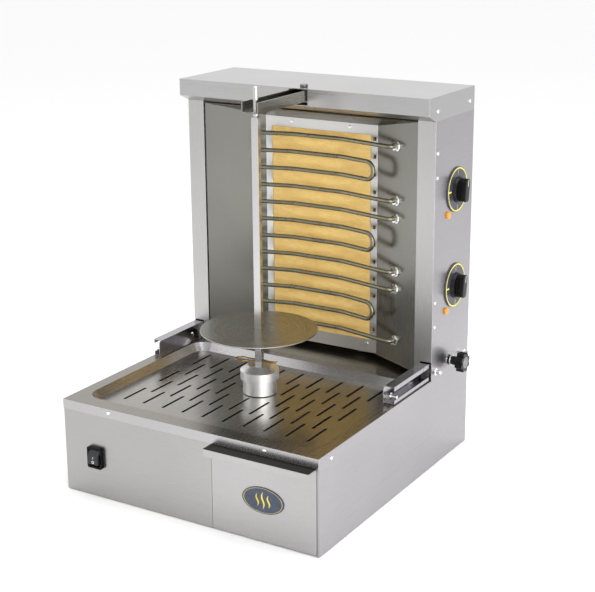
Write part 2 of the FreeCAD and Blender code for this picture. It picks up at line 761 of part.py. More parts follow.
def arm_guide():
    """Saddle under the hood that the arm slides in."""
    side = arm_width / 2 + arm_play
    low = arm_bottom - arm_play
    y0, y1 = hood_front + sheet + 2, body_depth - sheet - 1
    pieces = [block(-side - sheet, side + sheet, y0, y1, low - sheet, low),
              block(-side - sheet, -side, y0, y1, low - sheet, hood_under),
              block(side, side + sheet, y0, y1, low - sheet, hood_under),
              block(-side - 13, -side, y0, y1, hood_under - sheet, hood_under),
              block(side, side + 13, y0, y1, hood_under - sheet, hood_under)]
    return joined(pieces)


pad_z = arm_bottom + arm_sheet + 0.2


def arm_clamp_pad():
    return rod(4.5, Vector(0, clamp_y, pad_z), Vector(0, clamp_y, pad_z + 1.5))


def arm_clamp_screw():
    """Round-head thumb screw that presses the arm down."""
    stem = rod(clamp_stem, Vector(0, clamp_y, pad_z + 1.6), Vector(0, clamp_y, body_height + 2))
    head = rod(clamp_head, Vector(0, clamp_y, body_height + 0.3), Vector(0, clamp_y, body_height + 5.3))
    rims = [e for e in head.Edges if abs(e.Length - 2 * math.pi * clamp_head) < 0.1]
    head = head.makeFillet(1.4, rims)
    slot = block(-8, 8, clamp_y - 0.7, clamp_y + 0.7, body_height + 4.2, body_height + 6)
    return joined([stem, head]).cut(slot)


# ---------------------------------------------------------------- heating block
wall_way = Vector(mouth_half - block_half, block_front - block_back, 0).normalize()
wall_in = Vector(wall_way.y, -wall_way.x, 0)          # points into the heating space


def terminal(run):
    """Where run number 0-11 of the elements passes the right-hand wall."""
    share = (terminal_x - block_half) / (mouth_half - block_half)
    y = block_back + share * (block_front - block_back)
    return Vector(terminal_x, y, first_run_z - run * run_pitch)


terminal_runs = (0, 3, 4, 7, 8, 11)


def inner_wall(side):
    """Angled side wall of the heating space with a return at its front edge, drawn for +X."""
    back_low = Vector(block_half, block_back, block_bottom)
    front_low = Vector(mouth_half, block_front, block_bottom)
    front_high = Vector(mouth_half, block_front, mouth_top)
    back_high = Vector(block_half, block_back, block_top)
    wall = prism([back_low, front_low, front_high, back_high], wall_in * -sheet)
    lip = block(mouth_half, mouth_half + sheet, block_front, block_front + 16, block_bottom, mouth_top)
    wall = joined([wall, lip])
    if side > 0:
        return drilled(wall, [(terminal(run), wall_in) for run in terminal_runs],
                       rod_radius + rod_hole_play)
    return mirrored(wall)


def ceiling_plate():
    corners = [Vector(-block_half, block_back, block_top), Vector(block_half, block_back, block_top),
               Vector(mouth_half, block_front, mouth_top), Vector(-mouth_half, block_front, mouth_top)]
    up = (corners[1] - corners[0]).cross(corners[2] - corners[1]).normalize()
    return prism(corners, up * (sheet if up.z > 0 else -sheet))


def back_frame():
    """Frame round the board; a column of square holes runs down its right-hand strip."""
    frame = block(-block_half, block_half, block_back, block_back + sheet, block_bottom, block_top)
    frame = frame.cut(block(-window_half, window_half, block_back - 1, block_back + 3, window_bottom,
                            window_top))
    middle = (window_half + block_half) / 2
    levels = [first_run_z - run * run_pitch for run in range(run_count)]
    holes = [block(middle - frame_hole / 2, middle + frame_hole / 2, block_back - 1, block_back + 3,
                   z, z + frame_hole) for z in levels]
    return drilled(cut_all(frame, holes), frame_spots)


def reflector_board():
    y = block_back + sheet
    side = window_half + board_overlap
    return block(-side, side, y, y + board_thickness, window_bottom - 3, window_top + 5)


def board_tray():
    """Shallow sheet tray that holds the board against the frame."""
    y = block_back + sheet
    side = block_half - 2.0
    low, high = window_bottom - 3.5, window_top + 5.5
    depth = board_thickness + tray_play
    outer = block(-side - sheet, side + sheet, y, y + depth + sheet, low - sheet, high + sheet)
    return outer.cut(block(-side, side, y - 1, y + depth, low, high))


def heating_element(number):
    """Sheathed rod: four runs joined by hairpins, both ends through the right-hand wall."""
    first = number * 4
    hairpin = run_pitch / 2
    points, radii = [], []
    top, bottom = terminal(first), terminal(first + 3)
    points += [top - wall_in * 22, top + wall_in * 16]
    radii.append(9.0)
    for row in range(4):
        z = first_run_z - (first + row) * run_pitch
        leftwards = row % 2 == 0
        start, end = (1, -1) if leftwards else (-1, 1)
        if row > 0:
            points.append(Vector(start * end_half, end_depth, z))
            radii.append(hairpin - 0.01)
        points += [Vector(start * run_flat, run_depth, z), Vector(end * run_flat, run_depth, z)]
        radii += [40.0, 40.0]
        if row < 3:
            points.append(Vector(end * end_half, end_depth, z))
            radii.append(hairpin - 0.01)
    points += [bottom + wall_in * 16, bottom - wall_in * 22]
    radii.append(9.0)
    return bent_rod(points, radii, rod_radius)


def element_nuts():
    """Washer and hexagon nut at each element end, on the inner face of the wall."""
    pieces = []
    for run in terminal_runs:
        at = terminal(run)
        washer = rod(9.5, at, at + wall_in * 1.2)
        nut = hexagon(at + wall_in * 1.2, wall_in, 14, 6.0)
        piece = joined([washer, nut])
        pieces.append(piece.cut(rod(rod_radius + 0.1, at - wall_in * 5, at + wall_in * 12)))
    return Part.makeCompound(pieces)


def rail(side):
    """C rail, open outwards, with lips; the heating block hangs on it. Drawn for +X."""
    y0, y1 = rail_front, rail_rear
    pieces = [block(rail_inner, web_outer, y0, y1, rail_bottom, rail_top),
              block(rail_inner, rail_outer, y0 + 8, y1, rail_top - sheet, rail_top),
              block(rail_inner, rail_outer, y0 + 8, y1, rail_bottom, rail_bottom + sheet),
              block(rail_outer - sheet, rail_outer, y0 + 8, y1, rail_top - rail_lip, rail_top),
              block(rail_outer - sheet, rail_outer, y0 + 8, y1, rail_bottom, rail_bottom + rail_lip)]
    profile = joined(pieces)
    nose = prism([Vector(rail_inner - 1, y0 - 1, rail_top + 1), Vector(rail_inner - 1, y0 + 5, rail_top + 1),
                  Vector(rail_inner - 1, y0 - 1, rail_top - 5)], X * 4)
    sight_hole = rod(sight_hole_radius, Vector(rail_inner - 3, sight_hole_y, rail_mid),
                     Vector(rail_inner + 5, sight_hole_y, rail_mid))
    profile = cut_all(profile, [nose, sight_hole])
    return profile if side > 0 else mirrored(profile)


stop_y = rail_front + 16.0
stop_z = rail_bottom + 12.0


def rail_stops():
    """Welded stud with a nut inside the front end of each rail."""
    stud = rod(stop_bolt_radius, Vector(web_outer, stop_y, stop_z), Vector(rail_outer + 1, stop_y, stop_z))
    nut = hexagon(Vector(web_outer, stop_y, stop_z), X, 12, 7)
    right = joined([stud, nut])
    return [right, mirrored(right)]


def carriage_base():
    """Plates that tie the angled walls to the rails behind the pillars, joined by a bar at the back."""
    rear = rail_rear - 1
    free = tower_front + pillar_return + carriage_travel + 1.5
    low = block_bottom - sheet
    corners = [Vector(block_half, block_back, low), Vector(mouth_half, block_front, low),
               Vector(pillar_inner - 2, block_front, low), Vector(pillar_inner - 2, free, low),
               Vector(rail_inner, free, low), Vector(rail_inner, rear, low), Vector(block_half, rear, low)]
    plate = prism(corners, Z * sheet)
    bar_y = block_back + 46
    bar = block(-rail_inner, rail_inner, bar_y, bar_y + 20, low - 6, low)
    back = block_back + sheet + board_thickness + tray_play + sheet
    uprights = [joined([block(x - 9, x + 9, back, back + 2, low - 6, window_top - 60),
                        block(x - 9, x + 9, back, bar_y + 1, low - 6, low - 4)]) for x in (-80, 80)]
    return joined([plate, mirrored(plate), bar] + uprights)


# ---------------------------------------------------------------- guides and clamp knobs
def guide_blocks():
    """Plastic slide blocks inside the rails, with spacers out to the side panels."""
    play = guide_play
    pieces = []
    for spot in guide_spots:
        y, z = spot.y, spot.z
        body = block(web_outer + 1.5, rail_outer - sheet - play, y - 12, y + 12, rail_bottom + sheet + play,
                     rail_top - sheet - play)
        spacer = rod(6.5, Vector(rail_outer - sheet - play - 1, y, z), Vector(inside, y, z))
        bore = rod(bolt_radius + 0.05, Vector(0, y, z), Vector(half, y, z))
        right = joined([body, spacer]).cut(bore)
        pieces += [right, mirrored(right)]
    return Part.makeCompound(pieces)


def guide_bolts():
    """Studs of the slide blocks; each stands out of the side panel through a small nut."""
    pieces = []
    for spot in guide_spots:
        y, z = spot.y, spot.z
        stud = rod(bolt_radius, Vector(web_outer + 2.5, y, z), Vector(half + 15, y, z))
        tip = Part.makeCone(bolt_radius, bolt_radius - 1.5, 2, Vector(half + 15, y, z), X)
        nut = hexagon(Vector(half, y, z), X, 13, 6.5)
        right = joined([stud, tip, nut])
        pieces += [right, mirrored(right)]
    return pieces


def clamp_nuts():
    """Weld nuts: one inside each side panel, one under the hood for the arm's clamp screw."""
    nut = hexagon(Vector(inside - 6, clamp_knob_y, rail_mid), X, 13, 6)
    nut = nut.cut(rod(bolt_radius + running_fit, Vector(0, clamp_knob_y, rail_mid),
                      Vector(half, clamp_knob_y, rail_mid)))
    height = 5.0
    arm_nut = hexagon(Vector(0, clamp_y, hood_under - height), Z, 10, height)
    arm_nut = arm_nut.cut(rod(clamp_stem + running_fit, Vector(0, clamp_y, hood_under - 20),
                              Vector(0, clamp_y, hood_under + 20)))
    return Part.makeCompound([nut, mirrored(nut), arm_nut])


shoe_face = web_outer + 0.25


def clamp_shoe(side):
    y, z = clamp_knob_y, rail_mid
    shoe = rod(6.0, Vector(shoe_face, y, z), Vector(shoe_face + 2, y, z))
    return shoe if side > 0 else mirrored(shoe)


def star_knob(side):
    """Moulded star grip on its stud, drawn for +X."""
    y, z = clamp_knob_y, rail_mid
    face = half + star_reach
    stud = rod(bolt_radius, Vector(shoe_face + 2.1, y, z), Vector(half + 8, y, z))
    neck = rod(star_neck, Vector(half + 2.5, y, z), Vector(face - star_depth + 1, y, z))
    washer = rod(9.5, Vector(half + 1, y, z), Vector(half + 2.6, y, z))
    rear = face - star_depth
    star = rod(star_radius - 3.5, Vector(rear, y, z), Vector(face, y, z))
    tip, hollow = 4.2, 3.6
    for k in range(star_lobes):
        a = 2 * math.pi * k / star_lobes + 0.3
        cy, cz = y + (star_radius - tip) * math.cos(a), z + (star_radius - tip) * math.sin(a)
        star = star.fuse(rod(tip, Vector(rear, cy, cz), Vector(face, cy, cz)))
    for k in range(star_lobes):
        a = 2 * math.pi * (k + 0.5) / star_lobes + 0.3
        cy, cz = y + star_radius * math.cos(a), z + star_radius * math.sin(a)
        star = star.cut(rod(hollow, Vector(rear - 1, cy, cz), Vector(face + 1, cy, cz)))
    knob = joined([stud, neck, washer, star])
    return knob if side > 0 else mirrored(knob)


# ---------------------------------------------------------------- controls
def dial_plate(z):
    disc = rod(dial_radius, Vector(half, dial_y, z), Vector(half + dial_thickness, dial_y, z))
    rim = [e for e in disc.Edges if len(e.Vertexes) == 1 and e.CenterOfMass.x > half + 1]
    disc = disc.makeFillet(1.2, rim)
    return disc.cut(rod(6.0, Vector(half - 1, dial_y, z), Vector(half + 9, dial_y, z)))


def control_knob(z):
    """Round skirt with a tall grip bar, moulded on its spindle."""
    start = half + dial_thickness + 0.4
    face = half + dial_thickness + dial_knob_reach
    skirt = Part.makeCone(dial_knob_radius, dial_knob_radius - 2, 6, Vector(start, dial_y, z), X)
    grip = rounded_block(-8, 8, -dial_knob_radius + 2.5, dial_knob_radius - 2.5, 0, face - start - 5, 6)
    grip = grip.makeFillet(1.5, [e for e in grip.Edges if e.BoundBox.ZMin > face - start - 5.1])
    grip.Placement = Placement(Vector(start + 5, dial_y, z), Rotation(Y, 90).multiply(Rotation(Z, 90)))
    grip.rotate(Vector(start, dial_y, z), X, -8)
    spindle = rod(spindle_radius, Vector(half - 20, dial_y, z), Vector(start + 1, dial_y, z))
    return joined([skirt, grip, spindle])


def energy_regulators():
    """Heat regulators behind the side panel, one for each dial."""
    pieces = []
    for z in dial_z:
        box = block(inside - 30, inside, dial_y - 18, dial_y + 18, z - 21, z + 21)
        pieces.append(box.cut(rod(spindle_radius + running_fit, Vector(half - 21, dial_y, z),
                              Vector(half, dial_y, z))))
    return Part.makeCompound(pieces)


def pilot_lights():
    pieces = []
    for z in dial_z:
        at = Vector(half, dial_y - lamp_back, z - lamp_drop)
        lens = rod(lamp_radius, at, at + X * 4)
        rim = [e for e in lens.Edges if len(e.Vertexes) == 1 and e.CenterOfMass.x > half + 1]
        lens = lens.makeFillet(2.0, rim)
        pieces.append(joined([lens, rod(lamp_stem, at - X * 16, at + X * 0.5)]))
    return Part.makeCompound(pieces)


def switch_bezel():
    """Deep frame of the rocker switch with its body behind the panel."""
    w, h = switch_width / 2, switch_height / 2
    frame = block(switch_x - w, switch_x + w, -switch_reach, 0, switch_z - h, switch_z + h)
    upright = [e for e in frame.Edges if abs(e.Length - switch_reach) < 0.01]
    frame = frame.makeFillet(4.0, upright)
    wide, tall = switch_body_width / 2, switch_body_height / 2
    body = block(switch_x - wide, switch_x + wide, -1, 24, switch_z - tall, switch_z + tall)
    pocket = block(switch_x - rocker_width / 2 - rocker_play, switch_x + rocker_width / 2 + rocker_play,
                   -switch_reach - 1, 10, switch_z - rocker_half - 2.4, switch_z + rocker_half + 2.4)
    return joined([frame, body]).cut(pocket)


def switch_rocker():
    """Rocker, rest position with its upper half pressed in."""
    w = rocker_width / 2
    low, ridge, high = (switch_reach + d for d in (2.5, 4.5, 0.0))
    outline = [(rocker_pivot_y + 5, -7), (-2, -rocker_half), (-low, -rocker_half + 1), (-ridge, 3),
               (-high, rocker_half - 1), (-2, rocker_half), (rocker_pivot_y + 5, 7)]
    solid = prism([Vector(switch_x - w, y, switch_z + z) for y, z in outline], X * rocker_width)
    barrel = rod(6.0, Vector(switch_x - w, rocker_pivot_y, switch_z),
                 Vector(switch_x + w, rocker_pivot_y, switch_z))
    solid = joined([solid, barrel])
    solid.rotate(Vector(switch_x, rocker_pivot_y, switch_z), X, -rocker_tilt)
    return solid


def cable_gland():
    """Gland for a supply cable at the lower left of the back."""
    at = Vector(gland_x, body_depth, gland_z)
    flange = hexagon(at, Y, 20, 5)
    neck = rod(gland_radius, at - Y * 14, at + Y * gland_reach)
    return joined([flange, neck]).cut(rod(4.5, at - Y * 20, at + Y * 20))


# ---------------------------------------------------------------- fasteners
def panel_screws():
    """Every screw of the casing, and the studs of the slide blocks."""
    spots = lip_screws + deck_side_screws + pillar_screws + hood_screws
    return Part.makeCompound([screw(point, way) for point, way in spots] + guide_bolts())


def carriage_screws():
    """Screws of the back frame and the stop bolts of the rails."""
    return Part.makeCompound([screw(point, way) for point, way in frame_spots] + rail_stops())


# ---------------------------------------------------------------- all pieces
pieces = {
    "base_tray": base_tray(),
    "side_panel_left": side_panel(-1),
    "side_panel_right": side_panel(1),
    "front_panel": front_panel(),
    "rear_cover": rear_cover(),
    "rubber_feet": feet(),
    "hood": hood(),
    "pillar_left": pillar(-1),
    "pillar_right": pillar(1),
    "top_deck": top_deck(),
    "slotted_plate": slotted_plate(),
    "tower_floor": tower_floor(),
    "drawer_front": drawer_front(),
    "drawer_tray": drawer_tray(),
    "drawer_runners": drawer_runners(),
    "badge_plate": badge_plate(),
    "spit_rod": spit_rod(),
    "spit_disc": spit_disc(),
    "disc_pin": disc_pin(),
    "spit_clip": spit_clip(),
    "spit_coupling": spit_coupling(),
    "drive_shaft": drive_shaft(),
    "drive_gear": drive_gear(),
    "motor_pinion": motor_pinion(),
    "gearbox_housing": gearbox_housing(),
    "motor_bracket": motor_bracket(),
    "motor_can": motor_can(),
    "top_arm": top_arm(),
    "arm_guide": arm_guide(),
    "arm_clamp_pad": arm_clamp_pad(),
    "arm_clamp_screw": arm_clamp_screw(),
    "inner_wall_left": inner_wall(-1),
    "inner_wall_right": inner_wall(1),
    "ceiling_plate": ceiling_plate(),
    "back_frame": back_frame(),
    "reflector_board": reflector_board(),
    "board_tray": board_tray(),
    "element_nuts": element_nuts(),
    "rail_left": rail(-1),
    "rail_right": rail(1),
    "carriage_base": carriage_base(),
    "guide_blocks": guide_blocks(),
    "clamp_nuts": clamp_nuts(),
    "clamp_shoe_left": clamp_shoe(-1),
    "clamp_shoe_right": clamp_shoe(1),
    "star_knob_left": star_knob(-1),
    "star_knob_right": star_knob(1),
    "dial_plates": Part.makeCompound([dial_plate(z) for z in dial_z]),
    "control_knob_upper": control_knob(dial_z[0]),
    "control_knob_lower": control_knob(dial_z[1]),
    "energy_regulators": energy_regulators(),
    "pilot_lights": pilot_lights(),
    "switch_bezel": switch_bezel(),
    "switch_rocker": switch_rocker(),
    "cable_gland": cable_gland(),
    "panel_screws": panel_screws(),
    "carriage_screws": carriage_screws(),
}
for number in range(3):
    pieces["heating_element_" + str(number + 1)] = heating_element(number)

for name, shape in pieces.items():
    save(name, shape)
print(len(pieces), "nodes")
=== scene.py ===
# %% [markdown]
# # A vertical rotisserie grill
# The metal and plastic solids come in as a fixed frame, each one already in its place and in metres.
# This lesson gives every one of them a finish, adds the small things that a machine shop does not
# model, such as dial marks and a badge, and lights the whole like a product on a studio floor.

# %% Load the frame
import math

import bmesh
import bpy
from mathutils import Matrix, Vector


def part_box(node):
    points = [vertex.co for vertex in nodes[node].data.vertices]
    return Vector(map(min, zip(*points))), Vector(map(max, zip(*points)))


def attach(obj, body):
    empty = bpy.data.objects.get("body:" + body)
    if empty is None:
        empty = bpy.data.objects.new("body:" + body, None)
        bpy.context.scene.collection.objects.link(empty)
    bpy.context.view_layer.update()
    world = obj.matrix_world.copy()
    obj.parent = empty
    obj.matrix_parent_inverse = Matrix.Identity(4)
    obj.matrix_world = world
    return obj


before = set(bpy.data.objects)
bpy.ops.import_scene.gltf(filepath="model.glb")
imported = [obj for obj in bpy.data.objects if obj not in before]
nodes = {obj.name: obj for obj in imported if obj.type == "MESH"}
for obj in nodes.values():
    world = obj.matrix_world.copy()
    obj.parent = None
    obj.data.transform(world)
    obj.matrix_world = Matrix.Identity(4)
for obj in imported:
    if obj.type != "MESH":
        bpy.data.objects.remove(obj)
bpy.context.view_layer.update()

MM = 0.001

# %% [markdown]
# ## The camera
# A product picture is taken with a long lens from a little above the deck, so that the upright lines
# stay nearly parallel. The lens shift is the tilt correction of a view camera, and it is small. The
# camera could be set by hand in the viewport. It is set from three angles here, so that the view is the
# same on each run and a change of one angle is easy to read.

# %% Camera
camera_place = Vector((1.2866, -2.010, 1.0669))
angles_deg = (31.39, 15.83, -0.43)
camera_azimuth, camera_elevation, camera_roll = (math.radians(angle) for angle in angles_deg)
back = Vector((math.sin(camera_azimuth) * math.cos(camera_elevation),
               -math.cos(camera_azimuth) * math.cos(camera_elevation),
               math.sin(camera_elevation)))
level = Vector((math.cos(camera_azimuth), math.sin(camera_azimuth), 0))
upright = back.cross(level)
right = level * math.cos(camera_roll) + upright * math.sin(camera_roll)
up = upright * math.cos(camera_roll) - level * math.sin(camera_roll)

camera_data = bpy.data.cameras.new("camera")
camera_data.sensor_width = 36       # mm
camera_data.lens = 82.75            # mm
camera_data.shift_y = -0.0504       # share of the picture's width
camera_data.clip_end = 50           # m, past the far edge of the floor
camera = bpy.data.objects.new("camera", camera_data)
camera_turn = Matrix((right, up, back)).transposed().to_4x4()
camera.matrix_world = Matrix.Translation(camera_place) @ camera_turn
bpy.context.scene.collection.objects.link(camera)
bpy.context.scene.camera = camera
bpy.context.scene.view_settings.view_transform = "Standard"
print("camera at", [round(v, 2) for v in camera_place], "lens", camera_data.lens, "mm")

# %% [markdown]
# ## Colour and node helpers
# Colours are picked as sRGB hex values, but a shader works in linear light, so one function turns
# them. A second small function adds any shader node, sets its values and makes its links. Metal,
# plastic and paint differ in their patterns, but each pattern ends in the same three places: colour,
# roughness and bump. One function makes those joins for all of them. The same could be wired by hand
# in the shader editor, but the code keeps all the materials alike.


# %% Helpers for materials
def linear(hex_colour):
    """sRGB hex to a linear RGBA tuple."""
    values = [int(hex_colour[i:i + 2], 16) / 255 for i in (1, 3, 5)]
    return tuple(v / 12.92 if v <= 0.04045 else ((v + 0.055) / 1.055) ** 2.4 for v in values) + (1.0,)


def add(tree, kind, settings=None, links=None):
    """Adds a node of a kind; settings go to its attributes or inputs, links join inputs to outputs."""
    node = tree.nodes.new("ShaderNode" + kind)
    for key, value in (settings or {}).items():
        if isinstance(key, str) and hasattr(node, key):
            setattr(node, key, value)
        else:
            node.inputs[key].default_value = value
    for key, source in (links or {}).items():
        tree.links.new(source, node.inputs[key])
    return node


def material(name, **settings):
    """A new material with a Principled BSDF; returns the material, its tree and the shader."""
    made = bpy.data.materials.new(name)
    made.use_nodes = True
    tree = made.node_tree
    shader = tree.nodes["Principled BSDF"]
    for key, value in settings.items():
        shader.inputs[key.replace("_", " ")].default_value = value
    return made, tree, shader


def stretched(tree, sizes_mm, offset=0.0, **noise):
    """Noise whose grains have the given size in millimetres along X, Y and Z."""
    place = add(tree, "TexCoord")
    scale = [1 / (size * MM) for size in sizes_mm]
    fitted = add(tree, "Mapping", {"Scale": scale, "Location": (offset, offset, offset)},
                 {"Vector": place.outputs["Object"]})
    settings = {"Scale": 1.0, "Detail": 3.0, "Roughness": 0.6}
    settings.update(noise)
    return add(tree, "TexNoise", settings, {"Vector": fitted.outputs["Vector"]}).outputs["Fac"]


def between(start, end, low=0.0, high=1.0):
    """The four settings that map a value from start..end to low..high."""
    return {"From Min": start, "From Max": end, "To Min": low, "To Max": high}


def height_over_floor(tree):
    """The height of a point of the surface, in metres."""
    place = add(tree, "TexCoord").outputs["Object"]
    return add(tree, "SeparateXYZ", {}, {0: place}).outputs["Z"]


def overlaid(tree, tone, colour, share):
    """Lays a hex colour over a tone; share, a number from a pattern, says how much of it shows."""
    return add(tree, "Mix", {"data_type": "RGBA", 7: linear(colour)}, {0: share, 6: tone}).outputs[2]


NOISE_LOW, NOISE_HIGH = 0.3, 0.7    # nearly all of a noise's values lie in this range
EDGE_SAMPLES = 4


def dress(tree, shader, colours, shade, grain, roughness, depth_mm, strength, edge_mm):
    """Joins the three things that every skin here has: a colour that goes from the first to the second
    hex value as shade goes from 0 to 1, a roughness (lowest, highest) that follows the grain, and the
    grain's bump, of a real depth, on edges that are softened like a folded or broken edge."""
    first, second = (linear(colour) for colour in colours)
    tone = add(tree, "Mix", {"data_type": "RGBA", 6: first, 7: second}, {0: shade}).outputs[2]
    tree.links.new(tone, shader.inputs["Base Color"])
    gloss = add(tree, "MapRange", between(NOISE_LOW, NOISE_HIGH, *roughness), {"Value": grain})
    tree.links.new(gloss.outputs["Result"], shader.inputs["Roughness"])
    relief = {"Height": grain}
    if edge_mm:
        soft = add(tree, "Bevel", {"samples": EDGE_SAMPLES, "Radius": edge_mm * MM})
        relief["Normal"] = soft.outputs["Normal"]
    bump = add(tree, "Bump", {"Distance": depth_mm * MM, "Strength": strength}, relief)
    tree.links.new(bump.outputs["Normal"], shader.inputs["Normal"])
    return tone


print("helpers ready")

# %% [markdown]
# ## Brushed stainless steel
# The casing is stainless sheet with a brushed finish: a belt has left fine lines that all run one way
# in a panel, then the panel was cut and folded. The lines are about a tenth of a millimetre wide and
# some centimetres long. Lines that thin would not show, so they are drawn about a millimetre wide.
# They change the roughness more than the height, which is what spreads a reflection across them.
# The grain follows the sheet, so there is one finish for each way that it runs. Some panels also get a
# copy of a finish painted lighter or darker, a painted light or painted shade for how light falls on
# them. A picture of real brush marks would need a file and an unwrapped mesh, and the anisotropic
# setting alone shows no lines at all. Noise stretched along one axis needs neither, and its scale is a
# real size in millimetres.


# %% Brushed stainless steel
CLOUD_MM = 210.0            # size of the faint tone changes across a sheet
CLOUD_SHARE = 0.5           # how strongly they count beside the lines
LINE_DEPTH_MM = 0.0025
# Near-black painted shade for the well under the slotted plate, and the height over which it fades.
WELL_SHADE_FADE = 4 * MM          # the painted shade fades out over this height
WELL_SHADE = "#1E1B17"


def brushed_steel(name, light, dark, grain_mm, roughness, edge_mm=0.8, upward_shade_colour=None, shade_below_height=None):
    """Stainless sheet; grain_mm is the brush line along X, Y and Z. A colour given for level faces is a
    painted shade laid on faces that look up, and a height given puts a near-black painted shade below it."""
    made, tree, shader = material(name, Metallic=1.0)
    lines = stretched(tree, grain_mm, Detail=4.0, Roughness=0.7)
    clouds = stretched(tree, (CLOUD_MM,) * 3, offset=3.0, Detail=1.0)
    mixed = add(tree, "Math", {"operation": "MULTIPLY_ADD", 1: CLOUD_SHARE}, {0: lines, 2: clouds})
    shade = add(tree, "MapRange", between(0.45, 1.05), {"Value": mixed.outputs[0]}).outputs["Result"]
    tone = dress(tree, shader, (dark, light), shade, lines, (roughness * 0.85, roughness * 1.2),
                 LINE_DEPTH_MM, 1.0, edge_mm)
    # Faces that look up take the given darker colour, a painted shade.
    if upward_shade_colour:
        normal = add(tree, "NewGeometry").outputs["True Normal"]
        facing_up = add(tree, "SeparateXYZ", {}, {0: normal}).outputs["Z"]
        upward_shade_mask = add(tree, "MapRange", between(0.9, 0.98), {"Value": facing_up}).outputs["Result"]
        tone = overlaid(tree, tone, upward_shade_colour, upward_shade_mask)
    # Below the given height the sheet is painted near black, a painted shade for the recess under the
    # slotted plate.
    if shade_below_height:
        well_shade_mask = add(tree, "MapRange", between(shade_below_height - WELL_SHADE_FADE, shade_below_height, 1.0, 0.0),
                   {"Value": height_over_floor(tree)}).outputs["Result"]
        tone = overlaid(tree, tone, WELL_SHADE, well_shade_mask)
    tree.links.new(tone, shader.inputs["Base Color"])
    return made


LINE, LONG = 0.9, 120.0      # mm, width and length of a drawn brush line
ACROSS, LENGTHWISE, UPRIGHT = (LONG, LINE, LINE), (LINE, LONG, LINE), (LINE, LINE, LONG)
sheet_steel = brushed_steel("stainless_brushed_across", "#B6B5B5", "#ADACAC", ACROSS, 0.30)
# A copy of the hood's sheet painted darker, a painted shade for the front face.
front_shaded_steel = brushed_steel("stainless_front_shaded", "#AAA9A8", "#A19F9E", ACROSS, 0.30)
# A copy of the hood's sheet painted a little darker, a painted shade; the grip's upper face gets a dark
# painted shade.
drawer_shaded_steel = brushed_steel("stainless_drawer_shaded", "#B1B0B0", "#A9A7A7", ACROSS, 0.30, upward_shade_colour="#3A3935")
# The sides are painted darker than the hood's sheet, a painted shade that keeps the tower side dark.
side_shaded_steel = brushed_steel("stainless_lengthwise_shaded", "#A9A7AA", "#A09EA1", LENGTHWISE, 0.30)
pillar_steel = brushed_steel("stainless_brushed_upright", "#B9B8B8", "#B0AFAE", UPRIGHT, 0.30)
# A copy of the upright steel painted lighter, a painted light so that the frame's strips read bright.
frame_lit_steel = brushed_steel("stainless_frame_lit", "#D2D1CE", "#C6C5C2", UPRIGHT, 0.34)
arm_steel = brushed_steel("stainless_arm", "#9C9A92", "#8F8D85", LENGTHWISE, 0.28)
rail_steel = brushed_steel("stainless_rail", "#A9A6AB", "#9F9CA1", LENGTHWISE, 0.17)
# The inner walls are dulled by heat; the left wall is also painted darker, a painted shade from the hood
# above.
left_wall_dulled_shaded_steel = brushed_steel("stainless_dulled_shaded_left_wall", "#8B8A84", "#7C7B76", UPRIGHT, 0.34)
right_wall_steel = brushed_steel("stainless_dulled_right_wall", "#8A8983", "#7D7C76", UPRIGHT, 0.24)
smoked_steel = brushed_steel("stainless_smoked", "#6E695C", "#5A564B", ACROSS, 0.26)
dusty_steel = brushed_steel("stainless_tower_floor", "#A39C8D", "#8B8475", ACROSS, 0.28)
deck_steel = brushed_steel("stainless_deck_plate", "#A5A29C", "#918E87", LENGTHWISE, 0.24)
# Top deck: painted shade on its level faces, near-black painted shade in the well under the plate.
well_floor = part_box("slotted_plate")[0].z - 1 * MM
pan_steel = brushed_steel("stainless_drip_pan", "#B4B2B3", "#AAA8A9", LENGTHWISE, 0.26, upward_shade_colour="#8C8881",
                          shade_below_height=well_floor)
bar_steel = brushed_steel("stainless_ground_bar", "#CBCACA", "#C0BFBF", (LINE, LINE, 40.0), 0.22, 0.4)
print("fifteen steels")

# %% [markdown]
# ## Turned and spun metal
# The disc and the coupling were turned on a lathe, which leaves fine rings about the axis. Distance
# from the axis drives the pattern, so the rings stay round. The tangent tells the shader which way
# the rings run, and the highlight then opens into the bright fan that a turned face shows. A wave
# texture could draw the rings too, but its rings would be evenly spaced, and those of a real tool
# are not.


# %% Turned metal
TURNED_CLOUD_MM = 60.0
TURNED_EDGE_MM = 0.5


def turned_metal(name, light, dark, centre, ring_mm, ring_depth_mm, roughness, anisotropy):
    """Metal with tool rings about an upright axis through centre."""
    made, tree, shader = material(name, Metallic=1.0, Anisotropic=anisotropy)
    place = add(tree, "TexCoord").outputs["Object"]
    moved = add(tree, "VectorMath", {"operation": "SUBTRACT", 1: centre}, {0: place}).outputs[0]
    parts = add(tree, "SeparateXYZ", {}, {0: moved}).outputs
    flat = add(tree, "CombineXYZ", {}, {"X": parts["X"], "Y": parts["Y"]}).outputs[0]
    radius = add(tree, "VectorMath", {"operation": "LENGTH"}, {0: flat}).outputs["Value"]
    spot = add(tree, "CombineXYZ", {}, {"X": radius, "Z": parts["Z"]}).outputs[0]
    rings = add(tree, "TexNoise", {"Scale": 1 / (ring_mm * MM), "Detail": 2.0}, {"Vector": spot})
    rings = rings.outputs["Fac"]
    clouds = stretched(tree, (TURNED_CLOUD_MM,) * 3, offset=5.0)
    mixed = add(tree, "Math", {"operation": "MULTIPLY_ADD", 1: CLOUD_SHARE}, {0: rings, 2: clouds})
    shade = add(tree, "MapRange", between(0.5, 1.0), {"Value": mixed.outputs[0]}).outputs["Result"]
    dress(tree, shader, (dark, light), shade, rings, (roughness * 0.85, roughness * 1.15),
          ring_depth_mm, 1.0, TURNED_EDGE_MM)
    tangent = add(tree, "Tangent", {"direction_type": "RADIAL", "axis": "Z"})
    tree.links.new(tangent.outputs[0], shader.inputs["Tangent"])
    return made


